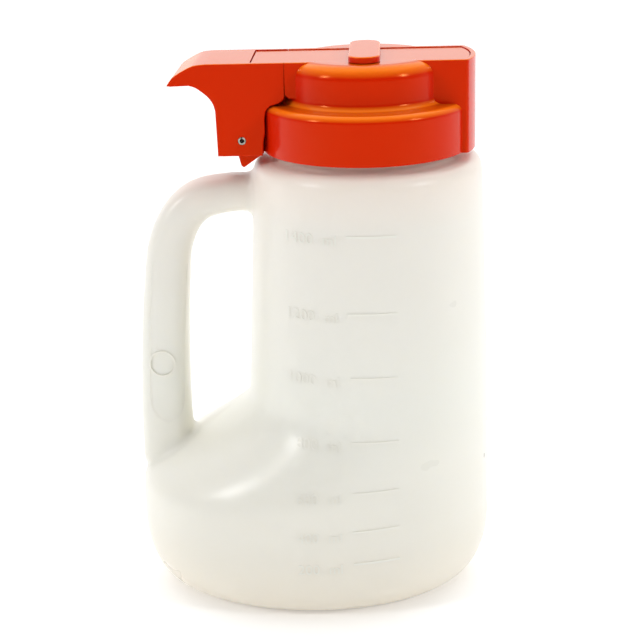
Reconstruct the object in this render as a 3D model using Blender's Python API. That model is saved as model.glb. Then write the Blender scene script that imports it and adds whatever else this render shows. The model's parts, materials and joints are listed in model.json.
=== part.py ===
"""A pouring jug with a screw lid: a thumb lever on the lid draws a flat shutter back from the pouring opening.

The jug stands on z = 0 with its base centred on the origin. The handle is towards -X and the spout towards +X.
Lengths are in millimetres, and each mesh is scaled to metres when it is made.
"""

import math

import bmesh
import bpy
from mathutils import Matrix, Vector

MM = 0.001

# Jug body
BASE_LEFT = -73.2
BASE_RIGHT = 73.2
BASE_HALF_DEPTH = 56.9
EDGE_IN = 16.8  # the bottom edge is a quarter oval, this wide and this high
EDGE_UP = 27.6
FOOT_WIDTH = 4.0  # the flat ring that the jug stands on
PUSH_UP = 4.0  # how far the underside is raised inside that ring
LID_X = 24.0  # the neck and the lid share this upright axis
UPPER_LEFT = 45.4  # the upper body's two sides below the shoulder, from the lid's axis
UPPER_RIGHT = 46.3
DRAFT = 0.052
SHOULDER_ROUND = 5.0
SHOULDER_Z = 182.0
WALL = 1.4
SLOPE_LOW_Z = 44.0  # the slope under the finger opening, from the wide base to the narrow upper body
SLOPE_HIGH_Z = 84.0

# Neck and screw thread
NECK_RADIUS = 35.8
NECK_BORE = 34.0
NECK_TOP_Z = 200.0
THREAD_LEAD = 12.0
THREAD_STARTS = 2
THREAD_TURNS = 0.62
NECK_THREAD_CREST = 37.6
LID_THREAD_CREST = 37.1
NECK_THREAD_Z = 186.6

# Handle
HANDLE_ROUTE = [(-14, 166.5), (-31, 167.0), (-46.6, 162.6), (-56.2, 147.5), (-59.6, 122), (-61.7, 88), (-62.0, 52)]
HANDLE_HALF_WIDTH = (7.0, 10.9)
HANDLE_HALF_DEPTH = (8.8, 10.6)

# Lid
SKIRT_RADIUS = 41.5
SKIRT_BORE = 38.9
SKIRT_Z = 185.4
STEP_Z = 204.8
STEP_ROUND = 3.2
STEP_FILLET = 2.8
CROWN_RADIUS = 31.9
CROWN_ROUND = 5.9
LID_TOP_Z = 221.8
LID_ROOF = 2.2
DOME_BORE = 29.4
BLOCK_HALF_WIDTH = 17.7
NOSE_RADIUS = 43.5
STUB_X = -30.4  # the channel's open end, from the lid's axis

# Channel, shutter and keeper
CHANNEL_HALF_WIDTH = 15.4
CHANNEL_FLOOR_Z = 218.3
CHANNEL_END_RADIUS = 41.5
SLIDE_HALF_WIDTH = 15.0
SLIDE_BOTTOM_Z = 219.0
SLIDE_TOP_Z = 221.4
SLIDE_END_X = -44.0
POUR_HOLE = (34.3, 39.6, 9.0)  # near edge, far edge and half width, from the lid's axis
CHUTE_NEAR = 20.0  # the passage under the channel, from inside the crown to the pouring hole
CHUTE_HALF_WIDTH = 13.0
KEEPER_WIDTH = 12.2
KEEPER_FRONT = -24.8
KEEPER_BACK = 19.5
KEEPER_THICK = 2.4
PEG_Y = (-20.5, 17.0)
PEG_RADIUS = 0.85

# Lever and its pivot
PIVOT_X = -48.2  # from the lid's axis
PIVOT_Z = 191.5
PIN_RADIUS = 1.5
PIN_BORE = 0.9
PIN_CLEARANCE = 0.15
LEVER_WALL = 2.2
LEVER_FOOT = -6.0  # the cheeks' lower end, from the pivot
RIB = 1.65
TAIL_BAR_Z = 216.5
TAIL_BAR_RADIUS = 1.4
LUG_INNER = 10.6
LUG_OUTER = 14.6
LUG_EYE_RADIUS = 3.6

GAP = 0.3
PARTS = bpy.data.collections.new("parts")
CUTTERS = bpy.data.collections.new("cutters")


def clear_scene():
    for old in list(bpy.data.objects):
        bpy.data.objects.remove(old, do_unlink=True)
    for collection in (PARTS, CUTTERS):
        bpy.context.scene.collection.children.link(collection)


def make_material(name, color, roughness, metallic=0.0, transmission=0.0):
    material = bpy.data.materials.new(name)
    material.use_nodes = True
    shader = material.node_tree.nodes["Principled BSDF"]
    shader.inputs["Base Color"].default_value = (*color, 1.0)
    shader.inputs["Roughness"].default_value = roughness
    shader.inputs["Metallic"].default_value = metallic
    shader.inputs["Transmission Weight"].default_value = transmission
    return material


def make_object(name, mesh_builder, place=(0, 0, 0), material=None, parent=None):
    """Makes an object from a bmesh in millimetres. The place is its origin, and the mesh keeps its world position."""
    bmesh.ops.recalc_face_normals(mesh_builder, faces=mesh_builder.faces)
    bmesh.ops.translate(mesh_builder, verts=mesh_builder.verts, vec=-Vector(place))
    bmesh.ops.scale(mesh_builder, verts=mesh_builder.verts, vec=(MM, MM, MM))
    mesh = bpy.data.meshes.new(name)
    mesh_builder.to_mesh(mesh)
    mesh_builder.free()
    mesh.shade_smooth()
    mesh.set_sharp_from_angle(angle=math.radians(35))
    made = bpy.data.objects.new(name, mesh)
    made.location = Vector(place) * MM
    if material is None:
        CUTTERS.objects.link(made)
        made.hide_render = True
        made.display_type = "WIRE"
    else:
        PARTS.objects.link(made)
        mesh.materials.append(material)
    if parent is not None:
        made.parent = parent
        made.matrix_parent_inverse = Matrix.Translation(-parent.location)
    return made


def make_pivot(name, place):
    pivot = bpy.data.objects.new(name, None)
    pivot.location = Vector(place) * MM
    PARTS.objects.link(pivot)
    return pivot


def combine(target, operation, other):
    modifier = target.modifiers.new(other.name, "BOOLEAN")
    modifier.operation = operation
    modifier.solver = "EXACT"
    modifier.object = other


def edge_loop(builder, points):
    verts = [builder.verts.new(point) for point in points]
    edges = [builder.edges.new(pair) for pair in zip(verts, verts[1:] + verts[:1])]
    return verts, edges


def loft(rings):
    """Skins a row of rings that have the same number of points, and closes both ends."""
    builder = bmesh.new()
    loops = [edge_loop(builder, ring) for ring in rings]
    for (_, low), (_, high) in zip(loops, loops[1:]):
        bmesh.ops.bridge_loops(builder, edges=low + high)
    builder.faces.new(loops[0][0])
    builder.faces.new(loops[-1][0])
    return builder


def turned(profile, steps):
    """Spins a closed outline of (radius, height) points about the lid's axis."""
    builder = bmesh.new()
    verts, edges = edge_loop(builder, [(LID_X + radius, 0, height) for radius, height in profile])
    bmesh.ops.spin(
        builder,
        geom=verts + edges,
        cent=(LID_X, 0, 0),
        axis=(0, 0, 1),
        angle=2 * math.pi,
        steps=steps,
        use_merge=True,
    )
    bmesh.ops.remove_doubles(builder, verts=builder.verts, dist=0.001)
    return builder


def extruded(outline, along):
    """Extrudes a closed outline, a list of 3-D points in one plane, by a vector."""
    builder = bmesh.new()
    face = builder.faces.new([builder.verts.new(point) for point in outline])
    result = bmesh.ops.extrude_face_region(builder, geom=[face])
    moved = [item for item in result["geom"] if isinstance(item, bmesh.types.BMVert)]
    bmesh.ops.translate(builder, verts=moved, vec=along)
    return builder


def side_plate(outline, low_y, high_y):
    """A plate between two y planes from an outline of (x, z) points."""
    return extruded([(x, low_y, z) for x, z in outline], (0, high_y - low_y, 0))


def flat_plate(outline, low_z, high_z):
    """A plate between two heights from an outline of (x, y) points."""
    return extruded([(x, y, low_z) for x, y in outline], (0, 0, high_z - low_z))


def cylinder_y(x, z, radius, half_length, steps=20):
    outline = arc((x, z), radius, 0, 360 - 360 / steps, steps)
    return side_plate(outline, -half_length, half_length)


def arc(centre, radius, start_deg, end_deg, points):
    """Points along an arc, both ends included."""
    spread = [start_deg + (end_deg - start_deg) * i / (points - 1) for i in range(points)]
    return [
        (centre[0] + radius * math.cos(math.radians(a)), centre[1] + radius * math.sin(math.radians(a)))
        for a in spread
    ]


def smoothstep(value):
    value = min(max(value, 0.0), 1.0)
    return value * value * (3 - 2 * value)


def mix(low, high, share):
    return low + (high - low) * share


# ---------------------------------------------------------------- jug


def body_extent(z):
    """The body's left end, right end and half depth at a height: an oval below, nearly a circle above the slope."""
    share = smoothstep((z - SLOPE_LOW_Z) / (SLOPE_HIGH_Z - SLOPE_LOW_Z))
    wall_top = SHOULDER_Z - SHOULDER_ROUND
    rise = max(z - EDGE_UP, 0) / (wall_top - EDGE_UP)
    right = mix(BASE_RIGHT, LID_X + UPPER_RIGHT, rise**2)
    upper_left = LID_X - UPPER_LEFT - DRAFT * (wall_top - z)
    left = mix(BASE_LEFT, upper_left, share)
    half_depth = mix(BASE_HALF_DEPTH, (right - upper_left) / 2, share)
    return left, right, half_depth


def body_ring(z, inset, height, steps, scale=1.0):
    """An oval ring of the body's outline at z, drawn in by an inset, and placed at a height."""
    left, right, half_depth = body_extent(z)
    centre = (left + right) / 2
    half_length = ((right - left) / 2 - inset) * scale
    half_depth = (half_depth - inset) * scale
    turns = [2 * math.pi * i / steps for i in range(steps)]
    return [(centre + half_length * math.cos(t), half_depth * math.sin(t), height) for t in turns]


def neck_ring(radius, height, steps):
    turns = [2 * math.pi * i / steps for i in range(steps)]
    return [(LID_X + radius * math.cos(t), radius * math.sin(t), height) for t in turns]


def underside_rings(floor, steps):
    """Rings from the middle of the underside out to the flat foot ring."""
    raised = floor + PUSH_UP
    rings = [body_ring(0, EDGE_IN, raised, steps, scale) for scale in (0.08, 0.5)]
    rings.append(body_ring(0, EDGE_IN + FOOT_WIDTH + 4.0, floor + 0.8 * PUSH_UP, steps))
    rings.append(body_ring(0, EDGE_IN + FOOT_WIDTH, floor, steps))
    return rings


def body_rings(inset, top, steps, neck_radius):
    """Rings up the whole body: the underside, the bottom edge, the wall, the shoulder and the neck."""
    rings = underside_rings(inset, steps)
    for i in range(6):
        turn = math.radians(18 * i)
        drawn_in = EDGE_IN - (EDGE_IN - inset) * math.sin(turn)
        height = EDGE_UP - (EDGE_UP - inset) * math.cos(turn)
        rings.append(body_ring(0, drawn_in, height, steps))
    wall_top = SHOULDER_Z - SHOULDER_ROUND
    heights = [mix(EDGE_UP, SLOPE_LOW_Z, 0.5)]
    heights += [mix(SLOPE_LOW_Z, SLOPE_HIGH_Z, i / 10) for i in range(11)]
    heights += [mix(SLOPE_HIGH_Z, wall_top, i / 5) for i in range(1, 6)]
    rings += [body_ring(z, inset, z, steps) for z in heights]
    shoulder = SHOULDER_ROUND - inset
    for i in range(1, 4):
        turn = math.radians(30 * i)
        drawn_in = SHOULDER_ROUND - shoulder * math.cos(turn)
        rings.append(body_ring(wall_top, drawn_in, wall_top + shoulder * math.sin(turn), steps))
    neck_foot = SHOULDER_Z - inset
    rings.append(neck_ring(neck_radius + 1.0, neck_foot, steps))
    rings.append(neck_ring(neck_radius, neck_foot + 1.0, steps))
    rings.append(neck_ring(neck_radius, top, steps))
    return rings


def handle_point(share):
    """A point on the smooth route of the handle, and its direction, by a Catmull-Rom spline."""
    last = len(HANDLE_ROUTE) - 1
    place = share * last
    start = min(int(place), last - 1)
    local = place - start
    points = [Vector(HANDLE_ROUTE[min(max(start + k, 0), last)]) for k in (-1, 0, 1, 2)]
    a, b, c, d = points
    spot = 0.5 * (
        2 * b
        + (c - a) * local
        + (2 * a - 5 * b + 4 * c - d) * local**2
        + (3 * b - a - 3 * c + d) * local**3
    )
    slope = 0.5 * (
        (c - a) + 2 * (2 * a - 5 * b + 4 * c - d) * local + 3 * (3 * b - a - 3 * c + d) * local**2
    )
    return spot, slope.normalized()


def handle_rings(inset, count, steps):
    """Rounded-box rings square to the handle's route."""
    rings = []
    for i in range(count):
        share = i / (count - 1)
        spot, slope = handle_point(share)
        across = Vector((-slope.y, slope.x))
        half_width = mix(*HANDLE_HALF_WIDTH, share) - inset
        half_depth = mix(*HANDLE_HALF_DEPTH, share) - inset
        ring = []
        for k in range(steps):
            turn = 2 * math.pi * (k + 0.5) / steps
            cosine, sine = math.cos(turn), math.sin(turn)
            flat = (abs(cosine) ** 2.8 + abs(sine) ** 2.8) ** (-1 / 2.8)
            shift = across * (half_width * flat * cosine)
            ring.append((spot.x + shift.x, half_depth * flat * sine, spot.y + shift.y))
        rings.append(ring)
    return rings


def thread_ridges(root, crest, low_z, direction_deg):
    """The starts of a right-hand thread: trapezoid ridges that climb as they go round the lid's axis."""
    builder = bmesh.new()
    steps = 30
    for start in range(THREAD_STARTS):
        loops = []
        for i in range(steps + 1):
            share = i / steps
            turn = 2 * math.pi * THREAD_TURNS * share
            angle = turn + math.radians(direction_deg + 360 * start / THREAD_STARTS)
            middle = low_z + THREAD_LEAD * turn / (2 * math.pi)
            fade = min(1.0, 6 * share + 0.25, 6 * (1 - share) + 0.25)
            tip = mix(root, crest, fade)
            section = [(root, -1.4), (tip, -0.6), (tip, 0.6), (root, 1.4)]
            ring = [(LID_X + r * math.cos(angle), r * math.sin(angle), middle + z) for r, z in section]
            loops.append(edge_loop(builder, ring))
        for (_, low), (_, high) in zip(loops, loops[1:]):
            bmesh.ops.bridge_loops(builder, edges=low + high)
        builder.faces.new(loops[0][0])
        builder.faces.new(loops[-1][0])
    return builder


def make_jug(plastic):
    jug = make_object("jug", loft(body_rings(0, NECK_TOP_Z, 56, NECK_RADIUS)), material=plastic)
    hollow = make_object("jug_hollow", loft(body_rings(WALL, NECK_TOP_Z + 6, 48, NECK_BORE)))
    handle = make_object("handle_outside", loft(handle_rings(0, 22, 18)))
    handle_hollow = make_object("handle_inside", loft(handle_rings(WALL, 20, 14)))
    ridges = make_object("neck_thread", thread_ridges(NECK_RADIUS - 0.5, NECK_THREAD_CREST, NECK_THREAD_Z, 0))
    combine(hollow, "UNION", handle_hollow)
    combine(jug, "UNION", handle)
    combine(jug, "UNION", ridges)
    combine(jug, "DIFFERENCE", hollow)
    return jug


# ---------------------------------------------------------------- lid


def nose_outline(half_width, radius, left, points=9):
    """A channel's outline from above: straight sides and an end that is round about the lid's axis."""
    edge = math.degrees(math.asin(half_width / radius))
    front = arc((LID_X, 0), radius, -edge, edge, points)
    return [(LID_X + left, -half_width), *front, (LID_X + left, half_width)]


def lid_profile():
    step_edge = SKIRT_RADIUS - STEP_ROUND
    fillet_edge = CROWN_RADIUS + STEP_FILLET
    crown_edge = CROWN_RADIUS - CROWN_ROUND
    return [
        (0, SKIRT_Z),
        (SKIRT_RADIUS, SKIRT_Z),
        *arc((step_edge, STEP_Z - STEP_ROUND), STEP_ROUND, 0, 90, 5),
        *arc((fillet_edge, STEP_Z + STEP_FILLET), STEP_FILLET, 270, 180, 4),
        *arc((crown_edge, LID_TOP_Z - CROWN_ROUND), CROWN_ROUND, 0, 90, 6),
        (0, LID_TOP_Z),
    ]


def lug_outline():
    """A hinge lug from the side: a wedge that runs from the skirt to a round eye about the pin."""
    x = LID_X + PIVOT_X
    eye = arc((x, PIVOT_Z), LUG_EYE_RADIUS, 60, 180, 7)
    wedge_tip = [(x - 0.8, 181.0), (x, 180.4), (x + 0.6, 180.6)]
    return [(LID_X - 40.0, 199.0), *eye, (x - 1.6, 184.2), *wedge_tip, (x + 6.0, 184.4), (LID_X - 40.0, 186.0)]


def make_lid(plastic):
    lid = make_object("lid_shell", turned(lid_profile(), 64), material=plastic)
    block = nose_outline(BLOCK_HALF_WIDTH, NOSE_RADIUS, 0)
    combine(lid, "UNION", make_object("nose_block", flat_plate(block, SKIRT_Z, LID_TOP_Z)))
    stub_left = LID_X + STUB_X
    stub = [
        (stub_left, LID_TOP_Z),
        *arc((stub_left + 1.4, 209.4), 1.4, 180, 240, 3),
        (LID_X, 207.0),
        (LID_X, LID_TOP_Z),
    ]
    stub_solid = side_plate(stub, -BLOCK_HALF_WIDTH, BLOCK_HALF_WIDTH)
    combine(lid, "UNION", make_object("channel_stub", stub_solid))
    for side, name in ((-1, "front_lug"), (1, "back_lug")):
        low, high = sorted((side * LUG_INNER, side * LUG_OUTER))
        combine(lid, "UNION", make_object(name, side_plate(lug_outline(), low, high)))

    roof_z = STEP_Z - LID_ROOF
    dome_z = CHANNEL_FLOOR_Z - LID_ROOF
    bore = [(0, SKIRT_Z - 5), (SKIRT_BORE, SKIRT_Z - 5), (SKIRT_BORE, roof_z), (DOME_BORE, roof_z)]
    bore += [(DOME_BORE, dome_z - 3), (DOME_BORE - 3, dome_z), (0, dome_z)]
    combine(lid, "DIFFERENCE", make_object("lid_bore", turned(bore, 56)))
    near, far, half = POUR_HOLE
    chute = [(LID_X + x, y) for x, y in ((CHUTE_NEAR, -CHUTE_HALF_WIDTH), (far, -CHUTE_HALF_WIDTH))]
    chute += [(x, -y) for x, y in reversed(chute)]
    combine(lid, "DIFFERENCE", make_object("nose_chute", flat_plate(chute, STEP_Z + 0.6, dome_z)))
    channel = nose_outline(CHANNEL_HALF_WIDTH, CHANNEL_END_RADIUS, STUB_X - 5)
    combine(lid, "DIFFERENCE", make_object("slide_channel", flat_plate(channel, CHANNEL_FLOOR_Z, LID_TOP_Z + 3)))
    hole = [(LID_X + near, -half), (LID_X + far, -half), (LID_X + far, half), (LID_X + near, half)]
    combine(lid, "DIFFERENCE", make_object("pour_hole", flat_plate(hole, dome_z - 1, CHANNEL_FLOOR_Z + 1)))
    pin_bore = cylinder_y(LID_X + PIVOT_X, PIVOT_Z, PIN_RADIUS + PIN_CLEARANCE, 20)
    combine(lid, "DIFFERENCE", make_object("lug_bore", pin_bore))
    for y, name in zip(PEG_Y, ("front_peg_hole", "back_peg_hole")):
        outline = arc((LID_X, y), PEG_RADIUS + GAP, 0, 330, 12)
        combine(lid, "DIFFERENCE", make_object(name, flat_plate(outline, LID_TOP_Z - 2.6, LID_TOP_Z + 3)))
    ridges = thread_ridges(SKIRT_BORE + 0.7, LID_THREAD_CREST, NECK_THREAD_Z + THREAD_LEAD / 4, 0)
    combine(lid, "UNION", make_object("lid_thread", ridges))
    return lid


def make_gasket(rubber):
    profile = [(33.0, 200.3), (37.0, 200.3), (37.0, 202.3), (33.0, 202.3)]
    return make_object("lid_gasket", turned(profile, 40), material=rubber)


def make_keeper(plastic):
    """A strap with half-round ends across the channel, and two pegs that press into the lid's top."""
    half = KEEPER_WIDTH / 2
    front = arc((LID_X, KEEPER_FRONT + half), half, 180, 360, 11)
    back = arc((LID_X, KEEPER_BACK - half), half, 0, 180, 11)
    base_z = LID_TOP_Z + GAP
    keeper = make_object("slide_keeper", flat_plate(front + back, base_z, base_z + KEEPER_THICK), material=plastic)
    for y, name in zip(PEG_Y, ("front_peg", "back_peg")):
        outline = arc((LID_X, y), PEG_RADIUS, 0, 330, 12)
        combine(keeper, "UNION", make_object(name, flat_plate(outline, LID_TOP_Z - 2.2, base_z + 1)))
    return keeper


# ---------------------------------------------------------------- shutter


def make_slide(plastic, pivot):
    """A flat plate with a round front end, and a tongue at its tail that carries a cross bar for the lever."""
    outline = nose_outline(SLIDE_HALF_WIDTH, CHANNEL_END_RADIUS - GAP, SLIDE_END_X)
    plate = flat_plate(outline, SLIDE_BOTTOM_Z, SLIDE_TOP_Z)
    slide = make_object("shutter_slide", plate, material=plastic, parent=pivot)
    near, far, half = POUR_HOLE
    pocket = [(LID_X + x, y) for x, y in ((near - 1.8, -half - 1.8), (far + 0.6, -half - 1.8))]
    pocket += [(x, -y) for x, y in reversed(pocket)]
    pocket_cut = flat_plate(pocket, SLIDE_BOTTOM_Z - 1, SLIDE_BOTTOM_Z + 0.8)
    combine(slide, "DIFFERENCE", make_object("pad_pocket", pocket_cut))
    bar_x = LID_X + PIVOT_X
    tongue = [
        (bar_x - 0.4, TAIL_BAR_Z - 0.9),
        (LID_X + SLIDE_END_X + 2.4, TAIL_BAR_Z - 0.9),
        (LID_X + SLIDE_END_X + 2.4, SLIDE_BOTTOM_Z + 0.5),
        (LID_X + SLIDE_END_X, SLIDE_BOTTOM_Z + 0.5),
        (LID_X + SLIDE_END_X, TAIL_BAR_Z + 0.9),
        (bar_x - 0.4, TAIL_BAR_Z + 0.9),
    ]
    combine(slide, "UNION", make_object("slide_tongue", side_plate(tongue, -4, 4)))
    combine(slide, "UNION", make_object("tail_bar", cylinder_y(bar_x, TAIL_BAR_Z, TAIL_BAR_RADIUS, 9, 16)))
    return slide


def make_pad(rubber, pivot):
    near, far, half = POUR_HOLE
    low_x, high_x = LID_X + near - 1.4, LID_X + far + 0.2
    half += 1.4
    outline = [(low_x, -half), (high_x, -half), (high_x, half), (low_x, half)]
    pad = flat_plate(outline, CHANNEL_FLOOR_Z + 0.3, SLIDE_BOTTOM_Z + 0.5)
    return make_object("shutter_pad", pad, material=rubber, parent=pivot)


# ---------------------------------------------------------------- lever


def lever_outline():
    """The lever's top and back from the side, as (x, z) points from the pivot, both starting at the thumb hook."""
    top = [(-28.6, 22.0), (-26.4, 25.0), (-23.4, 27.1), (-20.0, 28.9), (-17.2, 29.9), (17.2, LID_TOP_Z - PIVOT_Z)]
    throat = [(-20.0, 22.0), (-17.7, 21.3), (-15.5, 19.9), (-12.5, 17.3), (-10.7, 14.5), (-10.0, 11.8)]
    back = [(-27.0, 21.8), *throat, (-9.6, LEVER_FOOT)]
    return top, back


def drawn_in(points, distance):
    """Moves an open row of points to the left of the way that it runs."""
    moved = []
    for i, point in enumerate(points):
        before = points[max(i - 1, 0)]
        after = points[min(i + 1, len(points) - 1)]
        along = (Vector(after) - Vector(before)).normalized()
        moved.append((point[0] - along.y * distance, point[1] + along.x * distance))
    return moved


def round_hook(builder, tip_x, low_z):
    """Rounds the hook's two corners, which are its only cross edges beyond tip_x and above low_z."""
    corners = [
        edge
        for edge in builder.edges
        if edge.verts[0].co.y == edge.verts[1].co.y
        and min(edge.verts[0].co.x, edge.verts[1].co.x) < tip_x
        and min(edge.verts[0].co.z, edge.verts[1].co.z) > low_z
    ]
    bmesh.ops.bevel(builder, geom=corners, affect="EDGES", offset=1.0, segments=2, profile=0.5, material=-1)


def make_lever(plastic, pivot):
    """The thumb lever: a hooked deck on two cheeks, hollow and open towards the lid and below."""
    x0, z0 = LID_X + PIVOT_X, PIVOT_Z
    top, back = lever_outline()
    step = [(16.9, 16.4), (14.9, 14.6), (11.5, 13.6), (9.6, 11.4)]  # follows the lid's stepped outline
    front = [*step, (9.1, 8.5), (9.1, 3.0), (8.3, -1.0), (7.9, LEVER_FOOT)]
    outline = [(x0 + x, z0 + z) for x, z in top + front + back[::-1]]
    builder = side_plate(outline, -BLOCK_HALF_WIDTH, BLOCK_HALF_WIDTH)
    round_hook(builder, x0 - 23, z0 + 21)
    lever = make_object("thumb_lever", builder, place=(x0, 0, z0), material=plastic, parent=pivot)

    inner = CHANNEL_HALF_WIDTH + 0.1
    ceiling = drawn_in(top[2:], -LEVER_WALL)
    wall = drawn_in(back[1:], LEVER_WALL)
    open_side = [(25.0, ceiling[-1][1]), (25.0, LEVER_FOOT - 5), (wall[-1][0], LEVER_FOOT - 5)]
    hollow = [(x0 + x, z0 + z) for x, z in ceiling[:-1] + open_side + wall[::-1]]
    combine(lever, "DIFFERENCE", make_object("lever_hollow", side_plate(hollow, -inner, inner)))
    deck_edge = LID_X + SLIDE_END_X - GAP
    fork = [(deck_edge, LID_TOP_Z + 3), (deck_edge, LID_TOP_Z - 4), (x0 + 25, LID_TOP_Z - 4), (x0 + 25, LID_TOP_Z + 3)]
    combine(lever, "DIFFERENCE", make_object("lever_fork", side_plate(fork, -inner, inner)))
    pin_bore = cylinder_y(x0, z0, PIN_RADIUS + PIN_CLEARANCE, 20)
    combine(lever, "DIFFERENCE", make_object("cheek_bore", pin_bore))
    deck_z = LID_TOP_Z - 1.5
    low_z = TAIL_BAR_Z - TAIL_BAR_RADIUS - 1.0
    for name, near_x, low_y, high_y in (
        ("rib_behind_bar", x0 - 3.7, -10.0, 10.0),
        ("rib_before_bar_1", x0 + 2.05, -9.5, -5.0),
        ("rib_before_bar_2", x0 + 2.05, 5.0, 9.5),
    ):
        rib = [(near_x, low_z), (near_x + RIB, low_z), (near_x + RIB, deck_z), (near_x, deck_z)]
        combine(lever, "UNION", make_object(name, side_plate(rib, low_y, high_y)))
    return lever


def make_pin(steel):
    """A rolled pin: a tube with a lengthwise slot."""
    x, z = LID_X + PIVOT_X, PIVOT_Z
    outside = arc((x, z), PIN_RADIUS, 100, 440, 22)
    inside = arc((x, z), PIN_BORE, 440, 100, 22)
    return make_object("pivot_pin", side_plate(outside + inside, -17.4, 17.4), place=(x, 0, z), material=steel)


def make_spring(steel):
    """A torsion spring round the pin: one leg lies against the skirt, the other behind the lever's rib."""
    x, z = LID_X + PIVOT_X, PIVOT_Z
    coil_radius, wire, turns, half_width = 2.9, 0.45, 5, 4.2
    points = [(4.9, -half_width, -4.6)]
    steps = 12 * turns + 4
    for i in range(steps + 1):
        angle = math.radians(-60 - 30 * i)
        side = mix(-half_width, half_width, i / steps)
        points.append((coil_radius * math.cos(angle), side, coil_radius * math.sin(angle)))
    points.append((-4.35, half_width, 8.0))
    points.append((-4.35, half_width, 23.6))
    curve = bpy.data.curves.new("return_spring", "CURVE")
    curve.dimensions = "3D"
    curve.bevel_depth = wire * MM
    curve.bevel_resolution = 1
    curve.use_fill_caps = True
    spline = curve.splines.new("POLY")
    spline.points.add(len(points) - 1)
    for point, (px, py, pz) in zip(spline.points, points):
        point.co = (px * MM, py * MM, pz * MM, 1.0)
    curve.materials.append(steel)
    spring = bpy.data.objects.new("return_spring", curve)
    spring.location = Vector((x, 0, z)) * MM
    PARTS.objects.link(spring)
    return spring


def main():
    clear_scene()
    milky = make_material("milky_polyethylene", (0.86, 0.84, 0.79), 0.38, transmission=0.3)
    orange = make_material("orange_abs", (0.83, 0.12, 0.01), 0.18)
    seal = make_material("grey_silicone", (0.55, 0.55, 0.53), 0.55)
    steel = make_material("spring_steel", (0.55, 0.54, 0.52), 0.3, metallic=1.0)
    make_jug(milky)
    make_lid(orange)
    make_gasket(seal)
    make_keeper(orange)
    make_pin(steel)
    make_spring(steel)
    lever_pivot = make_pivot("lever_axis", (LID_X + PIVOT_X, 0, PIVOT_Z))
    shutter_axis = make_pivot("shutter_axis", (LID_X, 0, SLIDE_BOTTOM_Z))
    make_slide(orange, shutter_axis)
    make_pad(seal, shutter_axis)
    make_lever(orange, lever_pivot)


main()
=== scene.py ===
"""A pouring jug with a screw lid and a thumb lever: the visible pieces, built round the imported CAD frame."""

import json
import math

import bmesh
import bpy
from mathutils import Matrix, Vector
from mathutils.bvhtree import BVHTree


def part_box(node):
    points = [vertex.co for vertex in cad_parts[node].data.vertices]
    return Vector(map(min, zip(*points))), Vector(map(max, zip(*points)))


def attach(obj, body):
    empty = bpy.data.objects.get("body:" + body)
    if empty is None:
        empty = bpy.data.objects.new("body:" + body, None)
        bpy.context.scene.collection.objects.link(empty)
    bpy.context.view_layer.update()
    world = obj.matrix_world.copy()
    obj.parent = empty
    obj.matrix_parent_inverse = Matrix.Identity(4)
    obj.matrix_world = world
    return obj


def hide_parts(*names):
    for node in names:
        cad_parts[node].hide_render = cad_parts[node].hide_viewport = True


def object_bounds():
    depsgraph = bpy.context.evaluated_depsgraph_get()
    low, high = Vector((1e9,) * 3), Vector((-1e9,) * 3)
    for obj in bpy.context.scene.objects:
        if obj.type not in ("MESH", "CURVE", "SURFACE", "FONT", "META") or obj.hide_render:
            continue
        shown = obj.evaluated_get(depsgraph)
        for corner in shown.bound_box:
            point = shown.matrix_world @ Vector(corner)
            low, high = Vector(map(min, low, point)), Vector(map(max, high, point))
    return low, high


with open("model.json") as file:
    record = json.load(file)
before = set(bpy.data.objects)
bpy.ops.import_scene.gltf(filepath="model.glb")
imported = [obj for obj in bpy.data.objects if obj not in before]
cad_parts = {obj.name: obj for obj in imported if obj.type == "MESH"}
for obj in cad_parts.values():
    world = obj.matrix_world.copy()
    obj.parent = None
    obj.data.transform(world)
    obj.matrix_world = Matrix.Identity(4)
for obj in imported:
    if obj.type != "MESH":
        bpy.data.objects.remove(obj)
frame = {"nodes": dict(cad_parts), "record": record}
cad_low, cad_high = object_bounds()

# ---------------------------------------------------------------- Camera, floor and light
# The jug stands on a pale table and is seen from its graduated side, from above the lid, through a long
# lens. Two small soft boxes stand to its left and right and a wide one hangs overhead. The room is white
# behind the jug and grey in front of it.

camera_place = (0.03415, -0.6505, 0.3263)
yaw = math.radians(2.69)
pitch = math.radians(18.23)
roll = math.radians(-1.55)
camera = bpy.data.objects.new("camera", bpy.data.cameras.new("camera"))
bpy.context.scene.collection.objects.link(camera)
bpy.context.scene.camera = camera
camera.data.lens = 92.98
forward = Vector((-math.sin(yaw) * math.cos(pitch), math.cos(yaw) * math.cos(pitch), -math.sin(pitch)))
level = Vector((math.cos(yaw), math.sin(yaw), 0))
above = level.cross(forward)
camera_right = level * math.cos(roll) + above * math.sin(roll)
camera_up = above * math.cos(roll) - level * math.sin(roll)
camera_turn = Matrix((camera_right, camera_up, -forward)).transposed().to_4x4()
camera.matrix_world = Matrix.Translation(camera_place) @ camera_turn

table_radius = 6.0
table_shape = bmesh.new()
bmesh.ops.create_circle(table_shape, cap_ends=True, segments=96, radius=table_radius)
table_mesh = bpy.data.meshes.new("table_top")
table_shape.to_mesh(table_mesh)
table_shape.free()
table_top = bpy.data.objects.new("table_top", table_mesh)
bpy.context.scene.collection.objects.link(table_top)
table_white = bpy.data.materials.new("table_white")
table_white.use_nodes = True
shader = table_white.node_tree.nodes["Principled BSDF"]
shader.inputs["Base Color"].default_value = (0.93, 0.93, 0.93, 1)
shader.inputs["Roughness"].default_value = 0.9
shader.inputs["Specular IOR Level"].default_value = 0.1
shader.inputs["Emission Color"].default_value = (1, 1, 1, 1)
shader.inputs["Emission Strength"].default_value = 0.2
table_mesh.materials.append(table_white)

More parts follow.
